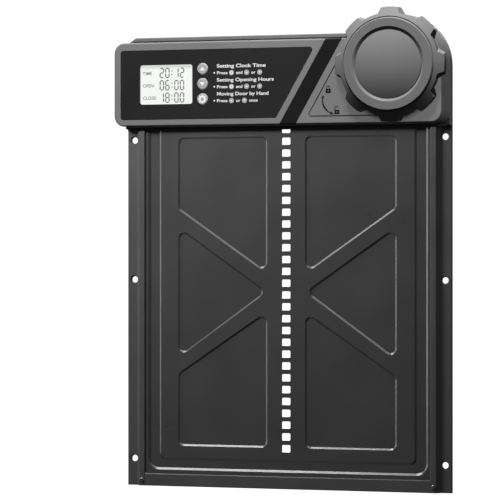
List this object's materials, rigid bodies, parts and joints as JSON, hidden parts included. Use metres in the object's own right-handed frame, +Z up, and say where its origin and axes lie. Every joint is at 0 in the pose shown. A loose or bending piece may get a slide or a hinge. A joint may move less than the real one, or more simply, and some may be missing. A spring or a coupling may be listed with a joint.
{
  "type": "automatic coop door",
  "caption": "Sliding perforated door panel in a wall frame, raised by a motor and sprocket in a header with a clock display, buttons and a round battery compartment cover.",
  "frame": {"origin": "centre of the four corner wall screws, on the wall plane behind the frame", "axes": "+X to the right seen from the front, +Z up along the door's travel, the front faces -Y"},
  "size_m": [0.2946, 0.0473, 0.4031],
  "materials": {
    "frame_metal": "satin powder coat",
    "door_metal": "satin powder coat",
    "header_plastic": "fine satin",
    "liner_plastic": "matte",
    "label_black": "satin print",
    "stripe_black": "satin",
    "screen_clear": "clear",
    "screen_grey": "reflective display",
    "button_grey": "satin",
    "knob_plastic": "fine satin",
    "screw_steel": "machined",
    "bracket_steel": "bare sheet",
    "board_green": "solder mask",
    "component_black": "moulded",
    "bush_brass": "machined",
    "gear_white": "moulded",
    "inner_plastic": "moulded",
    "cell_jacket": "plain sleeve",
    "seal_rubber": "matte",
    "contact_steel": "plated"
  },
  "bodies": {
    "frame": {"left_side_rail": "frame_metal", "right_side_rail": "frame_metal", "bottom_rail": "frame_metal", "guide_liner": "liner_plastic", "corner_screws": "screw_steel", "rear_housing": "header_plastic", "front_cover": "header_plastic", "header_screws": "screw_steel", "control_label": "label_black", "accent_stripe": "stripe_black", "screen_window": "screen_clear", "screen_module": "screen_grey", "control_board": "board_green", "board_components": "component_black", "board_screws": "screw_steel", "drive_bracket": "bracket_steel", "bracket_screws": "screw_steel", "shaft_bush_left": "bush_brass", "shaft_bush_right": "bush_brass", "gearhead": "inner_plastic", "gear_motor": "bracket_steel", "motor_screws": "screw_steel", "battery_well": "inner_plastic", "battery_seat_ring": "inner_plastic", "battery_tray": "inner_plastic", "battery_contacts_left": "contact_steel", "battery_contacts_right": "contact_steel", "tact_switch_up": "component_black", "tact_switch_down": "component_black", "tact_switch_set": "component_black", "aa_cell_1": "cell_jacket", "aa_cell_2": "cell_jacket", "aa_cell_3": "cell_jacket", "aa_cell_4": "cell_jacket"},
    "door": {"door_panel": "door_metal"},
    "drive": {"drive_sprocket": "gear_white", "sprocket_shaft": "bracket_steel", "shaft_gear": "gear_white"},
    "pinion": {"drive_pinion": "gear_white"},
    "up_button": {"button_up": "button_grey"},
    "down_button": {"button_down": "button_grey"},
    "set_button": {"button_set": "button_grey"},
    "seal": {"knob_seal": "seal_rubber"},
    "knob": {"battery_knob": "knob_plastic", "knob_dome": "knob_plastic", "knob_spigot": "inner_plastic"}
  },
  "joints": [
    {"name": "door_slide", "type": "slide", "parent": "frame", "child": "door", "axis": [0, 0, 1], "range_m": [0, 0.28]},
    {"name": "sprocket_spin", "type": "hinge", "parent": "frame", "child": "drive", "pos_m": [0, -0.01544, 0.18438], "axis": [1, 0, 0], "range_deg": [0, 1440.1]},
    {"name": "pinion_spin", "type": "hinge", "parent": "frame", "child": "pinion", "pos_m": [0, -0.02, 0.1935], "axis": [1, 0, 0], "range_deg": [-2058, 0]},
    {"name": "up_press", "type": "slide", "parent": "frame", "child": "up_button", "axis": [0, 1, 0], "range_m": [0, 0.0006], "stiffness_N_per_m": 400, "springref_m": -0.0005},
    {"name": "down_press", "type": "slide", "parent": "frame", "child": "down_button", "axis": [0, 1, 0], "range_m": [0, 0.0006], "stiffness_N_per_m": 400, "springref_m": -0.0005},
    {"name": "set_press", "type": "slide", "parent": "frame", "child": "set_button", "axis": [0, 1, 0], "range_m": [0, 0.0006], "stiffness_N_per_m": 400, "springref_m": -0.0005},
    {"name": "knob_pull", "type": "slide", "parent": "frame", "child": "seal", "axis": [0, -1, 0], "range_m": [0, 0.06]},
    {"name": "knob_twist", "type": "hinge", "parent": "seal", "child": "knob", "pos_m": [0.1021, 0, 0.1958], "axis": [0, -1, 0], "range_deg": [0, 20]}
  ],
  "couplings": [
    {"joint": "sprocket_spin", "follows": "door_slide", "rad_per_m": 89.76},
    {"joint": "pinion_spin", "follows": "door_slide", "rad_per_m": -128.23}
  ]
}
